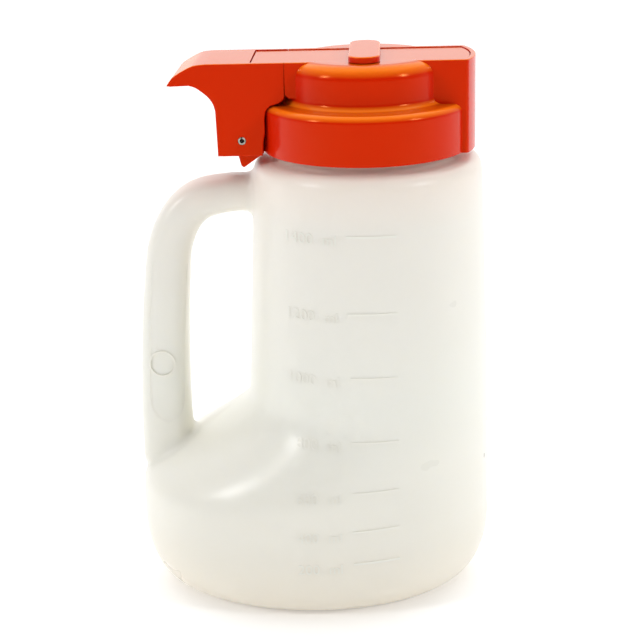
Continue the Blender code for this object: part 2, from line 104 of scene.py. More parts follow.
room = bpy.data.worlds.new("white_room")
bpy.context.scene.world = room
room.use_nodes = True
tree = room.node_tree
walls = tree.nodes["Background"]
walls.inputs["Strength"].default_value = 1.0
toward = tree.nodes.new("ShaderNodeSeparateXYZ")
direction = tree.nodes.new("ShaderNodeTexCoord").outputs["Generated"]
tree.links.new(direction, toward.inputs["Vector"])
front_to_back = tree.nodes.new("ShaderNodeMapRange")
front_to_back.inputs["From Min"].default_value = -0.4
front_to_back.inputs["From Max"].default_value = 0.7
front_to_back.inputs["To Min"].default_value = 0.26
front_to_back.inputs["To Max"].default_value = 1.15
tree.links.new(toward.outputs["Y"], front_to_back.inputs["Value"])
tree.links.new(front_to_back.outputs["Result"], walls.inputs["Color"])
bpy.context.scene.view_settings.view_transform = "Standard"

jug_middle = (cad_low + cad_high) / 2


def soft_box(name, place, width, height, watts):
    """Hangs a rectangular lamp at a place and turns it to face the jug."""
    lamp = bpy.data.lights.new(name, "AREA")
    lamp.shape = "RECTANGLE"
    lamp.size = width
    lamp.size_y = height
    lamp.energy = watts
    box = bpy.data.objects.new(name, lamp)
    bpy.context.scene.collection.objects.link(box)
    box.location = place
    box.rotation_euler = (jug_middle - Vector(place)).to_track_quat("-Z", "Y").to_euler()


soft_box("left_soft_box", (-1.04, -0.60, 0.75), 0.20, 0.30, 4.4)
soft_box("right_soft_box", (1.04, -0.60, 0.75), 0.20, 0.30, 4.2)
soft_box("overhead_soft_box", (0.0, 0.8, 2.8), 4.0, 4.0, 48.0)

# ---------------------------------------------------------------- Jug
# A blow-moulded bottle of milky polyethylene with a hollow handle down one side, all in one piece. Its two
# mould halves meet in a plane through the handle. The wall is 1.4 mm thick, the foot is a flat ring, and the
# underside is pushed up.

MM = 0.001
joints = {joint["name"]: joint for joint in frame["record"]["behaviour"]["joints"]}
lid_x = joints["lid_turn"]["pos_m"][0] / MM


def box_mm(node):
    """The low and high corners of a CAD node's box, in millimetres."""
    low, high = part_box(node)
    return Vector(low) / MM, Vector(high) / MM


def make_group(name, inputs, outputs):
    """A node group with float inputs, as (name, default) pairs, and outputs as (name, socket type) pairs."""
    group = bpy.data.node_groups.new(name, "ShaderNodeTree")
    for label, value in inputs:
        socket = group.interface.new_socket(label, in_out="INPUT", socket_type="NodeSocketFloat")
        socket.default_value = value
    for label, kind in outputs:
        group.interface.new_socket(label, in_out="OUTPUT", socket_type=kind)
    return group, group.nodes.new("NodeGroupInput"), group.nodes.new("NodeGroupOutput")


def math_node(tree, operation, first, second):
    """One sum of two values, each a number or another node's output."""
    node = tree.nodes.new("ShaderNodeMath")
    node.operation = operation
    for socket, value in zip(node.inputs, (first, second)):
        if hasattr(value, "links"):
            tree.links.new(value, socket)
        else:
            socket.default_value = value
    return node.outputs[0]


def noise_node(tree, coordinates, scale, detail, roughness=0.5):
    """Noise from 0 to 1. Its scale is a number or another node's output."""
    node = tree.nodes.new("ShaderNodeTexNoise")
    node.inputs["Detail"].default_value = detail
    node.inputs["Roughness"].default_value = roughness
    tree.links.new(coordinates, node.inputs["Vector"])
    if hasattr(scale, "links"):
        tree.links.new(scale, node.inputs["Scale"])
    else:
        node.inputs["Scale"].default_value = scale
    return node.outputs["Fac"]


def ramp_node(tree, value, stops):
    """Turns a value into a colour that runs through (position, colour) stops."""
    node = tree.nodes.new("ShaderNodeValToRGB")
    while len(node.color_ramp.elements) < len(stops):
        node.color_ramp.elements.new(0.5)
    for element, (position, color) in zip(node.color_ramp.elements, stops):
        element.position = position
        element.color = (*color, 1)
    tree.links.new(value, node.inputs["Fac"])
    return node.outputs["Color"]


def moulded_skin_group():
    """What moulded plastic shows: slow cloudiness, a fine mould grain, and a few faint scuffs."""
    group, given, result = make_group(
        "moulded_skin",
        [("Cloud Scale", 40.0), ("Grain Scale", 900.0), ("Gloss", 0.2), ("Gloss Spread", 0.08)],
        [("Cloud", "NodeSocketFloat"), ("Roughness", "NodeSocketFloat"), ("Height", "NodeSocketFloat")],
    )
    place = group.nodes.new("ShaderNodeTexCoord").outputs["Object"]
    cloud = noise_node(group, place, given.outputs["Cloud Scale"], 3.0)
    grain = noise_node(group, place, given.outputs["Grain Scale"], 2.0)
    stretch = group.nodes.new("ShaderNodeMapping")
    stretch.inputs["Scale"].default_value = (60, 60, 700)
    stretch.inputs["Rotation"].default_value = (0.5, 0.3, 0.2)
    group.links.new(place, stretch.inputs["Vector"])
    scuff = noise_node(group, stretch.outputs["Vector"], 1.0, 4.0, 0.7)
    scuffed = math_node(group, "MAXIMUM", math_node(group, "SUBTRACT", scuff, 0.68), 0.0)
    about_zero = math_node(group, "SUBTRACT", cloud, 0.5)
    spread = math_node(group, "MULTIPLY", about_zero, given.outputs["Gloss Spread"])
    dull = math_node(group, "ADD", given.outputs["Gloss"], spread)
    rough = math_node(group, "ADD", dull, scuffed)
    group.links.new(cloud, result.inputs["Cloud"])
    group.links.new(rough, result.inputs["Roughness"])
    group.links.new(math_node(group, "ADD", grain, cloud), result.inputs["Height"])
    return group


moulded_skin = moulded_skin_group()


def plastic_material(name, skin_values, bump_distance, shader_values):
    """A plastic whose roughness and relief come from the moulded skin. The caller links its colour."""
    material = bpy.data.materials.new(name)
    material.use_nodes = True
    tree = material.node_tree
    shader = tree.nodes["Principled BSDF"]
    for label, value in shader_values.items():
        shader.inputs[label].default_value = value
    skin = tree.nodes.new("ShaderNodeGroup")
    skin.node_tree = moulded_skin
    for label, value in skin_values.items():
        skin.inputs[label].default_value = value
    bump = tree.nodes.new("ShaderNodeBump")
    bump.inputs["Strength"].default_value = 0.25
    bump.inputs["Distance"].default_value = bump_distance
    tree.links.new(skin.outputs["Height"], bump.inputs["Height"])
    tree.links.new(skin.outputs["Roughness"], shader.inputs["Roughness"])
    tree.links.new(bump.outputs["Normal"], shader.inputs["Normal"])
    return material, tree, shader, skin


def mixed_color(tree, share, first, second, amount=1.0):
    """Mixes two colours, or colour outputs, by a share from 0 to 1, times an amount."""
    node = tree.nodes.new("ShaderNodeMix")
    node.data_type = "RGBA"
    tree.links.new(math_node(tree, "MULTIPLY", share, amount), node.inputs["Factor"])
    for socket, value in zip(("A", "B"), (first, second)):
        target = [item for item in node.inputs if item.name == socket and item.type == "RGBA"][0]
        if hasattr(value, "links"):
            tree.links.new(value, target)
        else:
            target.default_value = (*value, 1)
    return [item for item in node.outputs if item.type == "RGBA"][0]


milky_plastic, tree, shader, skin = plastic_material(
    "milky_polyethylene",
    {"Cloud Scale": 22.0, "Grain Scale": 700.0, "Gloss": 0.29, "Gloss Spread": 0.10},
    0.0001,
    {
        "Subsurface Weight": 0.55,
        "Subsurface Radius": (1.0, 0.95, 0.85),
        "Subsurface Scale": 0.003,
        "IOR": 1.5,
        "Specular IOR Level": 0.42,
    },
)
# Colour by height: yellower towards the foot, and at the top of the wall and on the neck a painted pink glow
# that stands in for the orange light the lid's skirt throws on the plastic under it.
toned_height = 0.2
height = tree.nodes.new("ShaderNodeSeparateXYZ")
tree.links.new(tree.nodes.new("ShaderNodeTexCoord").outputs["Object"], height.inputs["Vector"])
share_up = math_node(tree, "DIVIDE", height.outputs["Z"], toned_height)
wall_tone_and_painted_glow = ramp_node(
    tree,
    share_up,
    [
        (0.0, (0.88, 0.79, 0.66)),
        (0.18, (0.91, 0.87, 0.76)),
        (0.45, (0.90, 0.89, 0.79)),
        (0.80, (0.90, 0.85, 0.76)),
        (0.92, (0.97, 0.80, 0.70)),
    ],
)
wall_color = mixed_color(tree, skin.outputs["Cloud"], wall_tone_and_painted_glow, (0.86, 0.84, 0.75), 0.22)
tree.links.new(wall_color, shader.inputs["Base Color"])


def smoothstep(value):
    """Eases from 0 to 1 as a value runs from 0 to 1."""
    value = min(max(value, 0.0), 1.0)
    return value * value * (3 - 2 * value)


def mix(low, high, share):
    """The number that lies a share of the way from one number to another."""
    return low + (high - low) * share


def ring_edges(verts):
    """The edges of a ring, each once and always in the same order."""
    return list(dict.fromkeys(edge for vert in verts for edge in vert.link_edges))


def oval(shape, ends, half_depth, drawn_in, level_z, steps=144):
    """Adds an oval ring between two x ends at a height, and returns its edges."""
    ring = bmesh.ops.create_circle(shape, segments=steps, radius=1.0)["verts"]
    size = ((ends[1] - ends[0]) / 2 - drawn_in, half_depth - drawn_in, 1)
    bmesh.ops.scale(shape, verts=ring, vec=size)
    bmesh.ops.translate(shape, verts=ring, vec=((ends[0] + ends[1]) / 2, 0, level_z))
    return ring_edges(ring)


def close_rings(shape, rings):
    """Skins a row of rings and closes both ends."""
    for low, high in zip(rings, rings[1:]):
        bmesh.ops.bridge_loops(shape, edges=low + high)
    for end in (rings[0], rings[-1]):
        bmesh.ops.edgeloop_fill(shape, edges=end)
    bmesh.ops.recalc_face_normals(shape, faces=shape.faces)


def piece_of(name, shape, material, sharp_deg=35):
    """Makes a finished shape, in millimetres, an object in the frame's metres."""
    bmesh.ops.scale(shape, verts=shape.verts, vec=(MM, MM, MM))
    mesh = bpy.data.meshes.new(name)
    shape.to_mesh(mesh)
    shape.free()
    mesh.shade_smooth()
    mesh.set_sharp_from_angle(angle=math.radians(sharp_deg))
    mesh.materials.append(material)
    piece = bpy.data.objects.new(name, mesh)
    bpy.context.scene.collection.objects.link(piece)
    return piece


def settle(piece):
    """Makes what a piece's modifiers give its own mesh."""
    depsgraph = bpy.context.evaluated_depsgraph_get()
    mesh = bpy.data.meshes.new_from_object(piece.evaluated_get(depsgraph), depsgraph=depsgraph)
    mesh.name = piece.name
    piece.modifiers.clear()
    piece.data = mesh


def fuse(piece, tool, operation="UNION"):
    """Joins a tool to a piece, or cuts it away, and removes the tool."""
    modifier = piece.modifiers.new("fuse", "BOOLEAN")
    modifier.operation = operation
    modifier.solver = "EXACT"
    modifier.object = tool
    settle(piece)
    bpy.data.objects.remove(tool, do_unlink=True)


def belong(piece, body, slot, *nodes):
    """Hangs a piece under its body and hides the CAD nodes that it stands for. The slot is not used."""
    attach(piece, body)
    if nodes:
        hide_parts(*nodes)


# The lower edge rounds in by edge_in over a height of edge_up. The handle's side slopes in between slope_low
# and slope_high, and above that it leans in by wall_lean for each millimetre of height.
jug_low, jug_high = box_mm("jug")
wall = 1.4
edge_in = 16.8
edge_up = 27.6
push_up = 4.0
foot_width = 4.0
slope_low = 44.0
slope_high = 84.0
shoulder_z = 182.0
shoulder_round = 5.0
wall_top = shoulder_z - shoulder_round
wall_right = 46.3
wall_left = 45.4
wall_lean = 0.052
neck_radius = 35.8
neck_fillet = 1.2
neck_top = jug_high.z
trimmed_off = 5
mark_rise = 0.22


def body_extent(z):
    """The body's left end, right end and half depth: a wide oval below, nearly a circle above the slope."""
    share = smoothstep((z - slope_low) / (slope_high - slope_low))
    rise = max(z - edge_up, 0) / (wall_top - edge_up)
    right = mix(jug_high.x, lid_x + wall_right, rise**2)
    upper_left = lid_x - wall_left - wall_lean * (wall_top - z)
    left = mix(jug_low.x, upper_left, share)
    return (left, right), mix(jug_high.y - mark_rise, (right - upper_left) / 2, share)


# The underside's rings come first: how far in from the wall each one lies, and how high.
jug_shape = bmesh.new()
foot_ends, foot_half = body_extent(0)
rings = []
for drawn_in, level_z in (
    (edge_in + 38, push_up),
    (edge_in + 20, push_up),
    (edge_in + foot_width + 7, 0.95 * push_up),
    (edge_in + foot_width + 4, 0.75 * push_up),
    (edge_in + foot_width + 1.5, 0.25 * push_up),
    (edge_in + foot_width, 0.0),
):
    rings.append(oval(jug_shape, foot_ends, foot_half, drawn_in, level_z))
edge_steps = 14
for i in range(edge_steps + 1):
    turn = math.radians(90 * i / edge_steps)
    drawn_in = edge_in * (1 - math.sin(turn))
    rings.append(oval(jug_shape, foot_ends, foot_half, drawn_in, edge_up * (1 - math.cos(turn))))
wall_steps = 60
for i in range(1, wall_steps + 1):
    level_z = mix(edge_up, wall_top, i / wall_steps)
    rings.append(oval(jug_shape, *body_extent(level_z), 0, level_z))
shoulder_steps = 7
for i in range(1, shoulder_steps + 1):
    turn = math.radians(12 * i)
    drawn_in = shoulder_round * (1 - math.cos(turn))
    level_z = wall_top + shoulder_round * math.sin(turn)
    rings.append(oval(jug_shape, *body_extent(wall_top), drawn_in, level_z))
for radius, level_z in (
    (neck_radius + neck_fillet, shoulder_z),
    (neck_radius, shoulder_z + neck_fillet),
    (neck_radius, neck_top + trimmed_off),
):
    rings.append(oval(jug_shape, (lid_x - radius, lid_x + radius), radius, 0, level_z))
close_rings(jug_shape, rings)
jug = piece_of("blow_moulded_jug", jug_shape, milky_plastic)

handle_route = [
    (-14, 166.5),
    (-31, 167.0),
    (-46.6, 162.6),
    (-56.2, 147.5),
    (-59.6, 122),
    (-61.7, 88),
    (-62.0, 52),
]
handle_width = (7.0, 10.9)
handle_depth = (8.8, 10.6)
handle_steps = 72
handle_squareness = 2.8


def handle_point(share):
    """A point on the handle's middle line, and its direction, in the plane where the mould halves meet."""
    last = len(handle_route) - 1
    start = min(int(share * last), last - 1)
    local = share * last - start
    a, b, c, d = (Vector(handle_route[min(max(start + k, 0), last)]) for k in (-1, 0, 1, 2))
    curve = (2 * a - 5 * b + 4 * c - d, 3 * b - a - 3 * c + d)
    spot = 0.5 * (2 * b + (c - a) * local + curve[0] * local**2 + curve[1] * local**3)
    slope = 0.5 * ((c - a) + 2 * curve[0] * local + 3 * curve[1] * local**2)
    return spot, slope.normalized()


handle_shape = bmesh.new()
rings = []
for i in range(handle_steps + 1):
    share = i / handle_steps
    spot, slope = handle_point(share)
    half_width = mix(*handle_width, share)
    half_depth = mix(*handle_depth, share)
    ring = bmesh.ops.create_circle(handle_shape, segments=48, radius=1.0)["verts"]
    for vert in ring:
        squared = abs(vert.co.x) ** handle_squareness + abs(vert.co.y) ** handle_squareness
        swell = squared ** (-1 / handle_squareness)
        across = vert.co.x * swell * half_width
        depth = vert.co.y * swell * half_depth
        vert.co = (spot.x - slope.y * across, depth, spot.y + slope.x * across)
    rings.append(ring_edges(ring))
close_rings(handle_shape, rings)
fuse(jug, piece_of("handle_blank", handle_shape, milky_plastic))

skin_grid = 1.6
skin_over = jug.modifiers.new("one_skin", "REMESH")
skin_over.mode = "VOXEL"
skin_over.voxel_size = skin_grid * MM
soften = jug.modifiers.new("soft_corners", "SMOOTH")
soften.factor = 0.5
soften.iterations = 8
settle(jug)
opened = bmesh.new()
opened.from_mesh(jug.data)
bmesh.ops.bisect_plane(
    opened,
    geom=opened.verts[:] + opened.edges[:] + opened.faces[:],
    plane_co=(0, 0, neck_top * MM),
    plane_no=(0, 0, 1),
    clear_outer=True,
)
jug_surface = BVHTree.FromBMesh(opened)
opened.to_mesh(jug.data)
opened.free()
jug.data.shade_smooth()
hollow = jug.modifiers.new("wall", "SOLIDIFY")
hollow.thickness = wall * MM
hollow.offset = -1
belong(jug, "jug", "jug_plastic", "jug")

# ---------------------------------------------------------------- Neck thread
# Two raised ridges of the jug's own plastic, moulded on the neck. Each is one start of a right-hand thread
# with a 12 mm lead, and the lid's two ridges run between them.

lead = 12.0
ridge_turns = 0.62
ridge_steps = 64
ridge_root_half = 1.4
ridge_crest_half = 0.6
ridge_crest = 37.6
ridge_sunk = 0.6
neck_thread_z = 186.6


def thread_ridges(shape, root, crest, low_z):
    """Two starts of a right-hand thread about the lid's axis, each a trapezoid swept along its climb."""
    for start in (0, math.pi):
        earlier = set(shape.verts)
        section = [
            (root, -ridge_root_half),
            (crest, -ridge_crest_half),
            (crest, ridge_crest_half),
            (root, ridge_root_half),
        ]
        face = shape.faces.new([shape.verts.new((radius, 0, low_z + z)) for radius, z in section])
        bmesh.ops.spin(
            shape,
            geom=[face, *face.edges, *face.verts],
            axis=(0, 0, 1),
            dvec=(0, 0, lead * ridge_turns / ridge_steps),
            angle=2 * math.pi * ridge_turns,
            steps=ridge_steps,
        )
        added = [vert for vert in shape.verts if vert not in earlier]
        bmesh.ops.rotate(shape, verts=added, matrix=Matrix.Rotation(start, 3, "Z"))
    bmesh.ops.translate(shape, verts=shape.verts, vec=(lid_x, 0, 0))
    bmesh.ops.recalc_face_normals(shape, faces=shape.faces)


ridge_shape = bmesh.new()
thread_ridges(ridge_shape, neck_radius - ridge_sunk, ridge_crest, neck_thread_z)
neck_ridges = piece_of("neck_thread", ridge_shape, milky_plastic)
belong(neck_ridges, "jug", "jug_plastic")

# ---------------------------------------------------------------- Graduations
# Moulded into the front wall: seven short raised lines, closer together towards the wide base, with the
# volume in millilitres written beside each. They are the wall's own plastic and stand about a fifth of a
# millimetre proud.

raised_plastic, tree, shader, skin = plastic_material(
    "raised_polyethylene",
    {"Cloud Scale": 22.0, "Grain Scale": 700.0, "Gloss": 0.30, "Gloss Spread": 0.10},
    0.0001,
    {"IOR": 1.5, "Specular IOR Level": 0.5},
)
raised_color = mixed_color(tree, skin.outputs["Cloud"], (0.90, 0.88, 0.79), (0.86, 0.84, 0.75), 0.5)
tree.links.new(raised_color, shader.inputs["Base Color"])
sunk = 0.5
in_front_y = -120


def lay_on_jug(shape, rise):
    """Wraps flat faces, drawn in the XZ plane, onto the jug's front, as bodies sunk a little into it."""
    made = bmesh.ops.extrude_face_region(shape, geom=shape.faces[:])
    raised = {item for item in made["geom"] if isinstance(item, bmesh.types.BMVert)}
    for vert in shape.verts:
        start = Vector((vert.co.x, in_front_y, vert.co.z)) * MM
        hit = jug_surface.ray_cast(start, Vector((0, 1, 0)))[0]
        vert.co.y = hit.y / MM + (-rise if vert in raised else sunk)
    bmesh.ops.recalc_face_normals(shape, faces=shape.faces)


upright = Matrix.Rotation(math.pi / 2, 3, "X")
mark_heights = {1400: 159.7, 1200: 129.2, 1000: 103.3, 800: 77.1, 600: 57.0, 400: 40.9, 200: 27.1}
line_right = 35.5
line_thickness = 0.9
for volume, level_z in mark_heights.items():
    line_shape = bmesh.new()
    bmesh.ops.create_grid(line_shape, x_segments=28, y_segments=2, size=0.5)
    line_left = 16.5 if volume > 1000 else 17.1
    bmesh.ops.scale(line_shape, verts=line_shape.verts, vec=(line_right - line_left, line_thickness, 1))
    bmesh.ops.rotate(line_shape, verts=line_shape.verts, matrix=upright)
    line_place = ((line_left + line_right) / 2, 0, level_z)
    bmesh.ops.translate(line_shape, verts=line_shape.verts, vec=line_place)
    lay_on_jug(line_shape, mark_rise)
    line = piece_of(f"graduation_line_{volume}", line_shape, raised_plastic)
    belong(line, "jug", "jug_plastic")


def lettering(text, size, align, x, z):
    """Flat letters in the XZ plane as a bmesh in millimetres."""
    font = bpy.data.curves.new("lettering", "FONT")
    font.body = text
    font.size = size
    font.align_x = align
    font.resolution_u = 4
    writer = bpy.data.objects.new("lettering", font)
    bpy.context.scene.collection.objects.link(writer)
    depsgraph = bpy.context.evaluated_depsgraph_get()
    flat = bpy.data.meshes.new_from_object(writer.evaluated_get(depsgraph), depsgraph=depsgraph)
    bpy.data.objects.remove(writer, do_unlink=True)
    shape = bmesh.new()
    shape.from_mesh(flat)
    bmesh.ops.remove_doubles(shape, verts=shape.verts, dist=0.0001)
    bmesh.ops.rotate(shape, verts=shape.verts, matrix=upright)
    bmesh.ops.translate(shape, verts=shape.verts, vec=(x, 0, z))
    return shape


letter_size = 5.9
letter_drop = 3.6
number_right = 3.6
unit_left = 7.1
for volume, level_z in mark_heights.items():
    base_line = level_z - letter_drop
    for text, align, x, name in (
        (str(volume), "RIGHT", number_right, "number"),
        ("ml", "LEFT", unit_left, "unit"),
    ):
        letters = lettering(text, letter_size, align, x, base_line)
        lay_on_jug(letters, mark_rise)
        label = piece_of(f"graduation_{name}_{volume}", letters, raised_plastic)
        belong(label, "jug", "jug_plastic")

# ---------------------------------------------------------------- Handle's grip panel and mould stamp
# The front of the handle has a slightly raised flat panel with a round lower end, and a small raised ring on
# it. Both are part of the blow moulding, in the same plastic as the wall.

panel_from = 0.56
panel_to = 0.905
panel_half = 7.0
panel_aside = 1.4
panel_rise = 0.25
panel_steps = 32
round_steps = 4
panel_shape = bmesh.new()
previous = None
for i in range(panel_steps + 1):
    spot, slope = handle_point(mix(panel_from, panel_to, i / panel_steps))
    into_end = max(0.0, (i - panel_steps + round_steps) / round_steps)
    half = panel_half * math.sqrt(max(0.0, 1 - into_end**2)) + 0.02
    pair = []
    for side in (-1, 1):
        corner = (spot.x + panel_aside - slope.y * side * half, 0, spot.y + slope.x * side * half)
        pair.append(panel_shape.verts.new(corner))
    if previous:
        panel_shape.faces.new((*previous, *reversed(pair)))
    previous = pair
lay_on_jug(panel_shape, panel_rise)
panel = piece_of("handle_panel", panel_shape, raised_plastic)
belong(panel, "jug", "jug_plastic")

stamp_radii = (4.9, 5.6)
stamp_place = (-61.7, 0, 96.9)
stamp_rise = 0.7
stamp_shape = bmesh.new()
circles = []
for radius in stamp_radii:
    circle = bmesh.ops.create_circle(stamp_shape, segments=48, radius=radius)["verts"]
    circles.append(ring_edges(circle))
bmesh.ops.bridge_loops(stamp_shape, edges=circles[0] + circles[1])
bmesh.ops.rotate(stamp_shape, verts=stamp_shape.verts, matrix=upright)
bmesh.ops.translate(stamp_shape, verts=stamp_shape.verts, vec=stamp_place)
lay_on_jug(stamp_shape, stamp_rise)
stamp = piece_of("handle_stamp", stamp_shape, raised_plastic)
belong(stamp, "jug", "jug_plastic")

# ---------------------------------------------------------------- Lid shell
# One injection moulding in glossy orange ABS: a screw skirt, a stepped crown, and a block across them that
# holds the shutter's channel, with the pouring hole at its far end and two lugs for the lever's pin at the
# other. Where the surface turns upwards the orange carries painted light: a brighter painted highlight on
# sloping faces and rounded edges, and a paler, yellower painted reflection on flat tops.

orange_plastic, tree, shader, skin = plastic_material(
    "orange_abs",
    {"Cloud Scale": 30.0, "Grain Scale": 1500.0, "Gloss": 0.17, "Gloss Spread": 0.06},
    0.00003,
    {
        "Subsurface Weight": 0.1,
        "Subsurface Radius": (1.0, 0.35, 0.05),
        "Subsurface Scale": 0.0012,
        "IOR": 1.52,
        "Specular IOR Level": 0.36,
        "Specular Tint": (1.0, 0.40, 0.10, 1.0),
    },
)
orange_body = mixed_color(tree, skin.outputs["Cloud"], (0.66, 0.016, 0.0002), (0.60, 0.011, 0.0002), 0.6)
# Painted light by which way the surface faces: a brighter orange painted highlight on sloping faces and
# rounded edges, and a paler painted reflection of the white room on flat tops.
facing = tree.nodes.new("ShaderNodeSeparateXYZ")
tree.links.new(tree.nodes.new("ShaderNodeNewGeometry").outputs["Normal"], facing.inputs["Vector"])
painted_highlight_mask = ramp_node(tree, facing.outputs["Z"], [(0.25, (0, 0, 0)), (0.75, (1, 1, 1))])
painted_reflection_mask = ramp_node(tree, facing.outputs["Z"], [(0.88, (0, 0, 0)), (0.98, (1, 1, 1))])
orange_with_painted_highlight = mixed_color(tree, painted_highlight_mask, orange_body, (1.0, 0.20, 0.008))
orange_with_painted_light = mixed_color(tree, painted_reflection_mask, orange_with_painted_highlight, (0.70, 0.10, 0.002))
tree.links.new(orange_with_painted_light, shader.inputs["Base Color"])

lid_high = box_mm("lid_shell")[1]
lid_top = lid_high.z
skirt_radius = lid_high.y
nose_radius = lid_high.x - lid_x
lid_wall = 2.2
skirt_z = 185.4
step_z = 204.8
crown_radius = 31.9
skirt_bore = 38.9
dome_bore = 29.4
roof_z = step_z - lid_wall
block_half = 17.7
channel_half = 15.4
channel_floor = 218.3
channel_radius = 41.5
channel_back = -35.4
dome_z = channel_floor - lid_wall
stub_x = lid_x - 30.85
pivot = Vector(joints["lever_pivot"]["pos_m"]) / MM
pin_hole_radius = 1.65
pin_hole_half = 20
eye_radius = 3.6
small_round = 0.45
hair = 0.01  # two places nearer than this are the same


def lathe(outline, steps=160):
    """Spins (radius, height) points about the lid's axis. An outline that starts off the axis is closed."""
    shape = bmesh.new()
    verts = [shape.verts.new((radius, 0, z)) for radius, z in outline]
    after = verts[1:] if outline[0][0] == 0 else verts[1:] + verts[:1]
    edges = [shape.edges.new(pair) for pair in zip(verts, after)]
    bmesh.ops.spin(shape, geom=verts + edges, axis=(0, 0, 1), angle=2 * math.pi, steps=steps, use_merge=True)
    bmesh.ops.remove_doubles(shape, verts=shape.verts, dist=0.001)
    bmesh.ops.recalc_face_normals(shape, faces=shape.faces)
    bmesh.ops.translate(shape, verts=shape.verts, vec=(lid_x, 0, 0))
    return shape


def round_ring(shape, radius, z, offset, segments):
    """Rounds the ring of edges at a radius from the lid's axis and a height."""

    def on_ring(vert):
        return abs(math.hypot(vert.co.x - lid_x, vert.co.y) - radius) < hair and abs(vert.co.z - z) < hair

    ring = [edge for edge in shape.edges if on_ring(edge.verts[0]) and on_ring(edge.verts[1])]
    bmesh.ops.bevel(
        shape, geom=ring, affect="EDGES", offset=offset, segments=segments, profile=0.5, material=-1
    )


def raise_face(shape, low, high):
    """Stands a flat outline that was drawn at z = 0 up between two heights."""
    made = bmesh.ops.extrude_face_region(shape, geom=shape.faces[:])
    bmesh.ops.translate(shape, verts=shape.verts, vec=(0, 0, low))
    top = [item for item in made["geom"] if isinstance(item, bmesh.types.BMVert)]
    bmesh.ops.translate(shape, verts=top, vec=(0, 0, high - low))
    bmesh.ops.recalc_face_normals(shape, faces=shape.faces)
    return shape


def nose_solid(radius, half_width, left, low, high):
    """A block that runs out along X from the lid's axis and ends in an arc about it."""
    shape = bmesh.new()
    bmesh.ops.create_circle(shape, cap_ends=True, segments=240, radius=radius)
    cuts = (((0, half_width, 0), (0, 1, 0)), ((0, -half_width, 0), (0, -1, 0)), ((0, 0, 0), (-1, 0, 0)))
    for point, normal in cuts:
        geometry = shape.verts[:] + shape.edges[:] + shape.faces[:]
        bmesh.ops.bisect_plane(shape, geom=geometry, plane_co=point, plane_no=normal, clear_outer=True)
    bmesh.ops.dissolve_limit(shape, angle_limit=0.001, verts=shape.verts, edges=shape.edges)
    bmesh.ops.remove_doubles(shape, verts=shape.verts, dist=0.3)
    square_end = [vert for vert in shape.verts if vert.co.x < hair]
    bmesh.ops.translate(shape, verts=square_end, vec=(left, 0, 0))
    bmesh.ops.translate(shape, verts=shape.verts, vec=(lid_x, 0, 0))
    return raise_face(shape, low, high)


def soften_edges(shape, chosen, offset, segments=3):
    """Rounds the edges that a test picks out."""
    edges = [edge for edge in shape.edges if chosen(edge)]
    bmesh.ops.bevel(
        shape, geom=edges, affect="EDGES", offset=offset, segments=segments, profile=0.5, material=-1
    )


def block_between(low, high):
    """A plain rectangular blank between two corners, for cutting or joining."""
    shape = bmesh.new()
    bmesh.ops.create_cube(shape, size=1.0)
    bmesh.ops.scale(shape, verts=shape.verts, vec=Vector(high) - Vector(low))
    bmesh.ops.translate(shape, verts=shape.verts, vec=(Vector(high) + Vector(low)) / 2)
    return shape


def slab(outline, low_y, high_y):
    """A plate between two y planes from a closed outline of (x, z) points."""
    shape = bmesh.new()
    face = shape.faces.new([shape.verts.new((x, low_y, z)) for x, z in outline])
    made = bmesh.ops.extrude_face_region(shape, geom=[face])
    far = [item for item in made["geom"] if isinstance(item, bmesh.types.BMVert)]
    bmesh.ops.translate(shape, verts=far, vec=(0, high_y - low_y, 0))
    bmesh.ops.recalc_face_normals(shape, faces=shape.faces)
    return shape


def rod_y(x, z, radius, half_length, segments=32):
    """A round bar along Y."""
    shape = bmesh.new()
    bmesh.ops.create_cone(
        shape, cap_ends=True, segments=segments, radius1=radius, radius2=radius, depth=2 * half_length
    )
    bmesh.ops.rotate(shape, verts=shape.verts, matrix=upright)
    bmesh.ops.translate(shape, verts=shape.verts, vec=(x, 0, z))
    return shape


def even_shading(piece):
    """Keeps flat faces flat where they meet small rounded edges."""
    piece.data.shade_smooth()
    piece.data.set_sharp_from_angle(angle=math.radians(32))
    weigh = piece.modifiers.new("even_shading", "WEIGHTED_NORMAL")
    weigh.keep_sharp = True
    weigh.weight = 100


cap_outline = [
    (0, skirt_z),
    (skirt_radius, skirt_z),
    (skirt_radius, step_z),
    (crown_radius, step_z),
    (crown_radius, lid_top),
    (0, lid_top),
]
cap_shape = lathe(cap_outline)
round_ring(cap_shape, crown_radius, lid_top, 5.9, 12)
round_ring(cap_shape, skirt_radius, step_z, 3.2, 8)
round_ring(cap_shape, crown_radius, step_z, 2.8, 6)
round_ring(cap_shape, skirt_radius, skirt_z, 0.4, 3)
lid = piece_of("lid_moulding", cap_shape, orange_plastic)


def height_of(edge):
    """How far an edge climbs."""
    return abs(edge.verts[0].co.z - edge.verts[1].co.z)


def lies_above(edge, z):
    """True for an edge with both ends at a height or above it."""
    return min(vert.co.z for vert in edge.verts) > z - hair


def nose_corner(edge):
    """True for the two upright corners of the nose."""
    vert = edge.verts[0]
    upright_edge = abs(vert.co.x - edge.verts[1].co.x) < hair and height_of(edge) > 1
    return upright_edge and abs(abs(vert.co.y) - block_half) < hair and vert.co.x > lid_x + 30


def nose_rim(edge):
    """True for the rim of the nose's top, but not for its square end inside the crown."""
    return lies_above(edge, lid_top) and max(vert.co.x for vert in edge.verts) > lid_x + hair


def stub_rim(edge):
    """True for the two long edges of the stub's top."""
    first, second = edge.verts
    along = abs(first.co.y - second.co.y) < 1 and lies_above(edge, lid_top)
    return along and all(abs(abs(vert.co.y) - block_half) < hair for vert in (first, second))


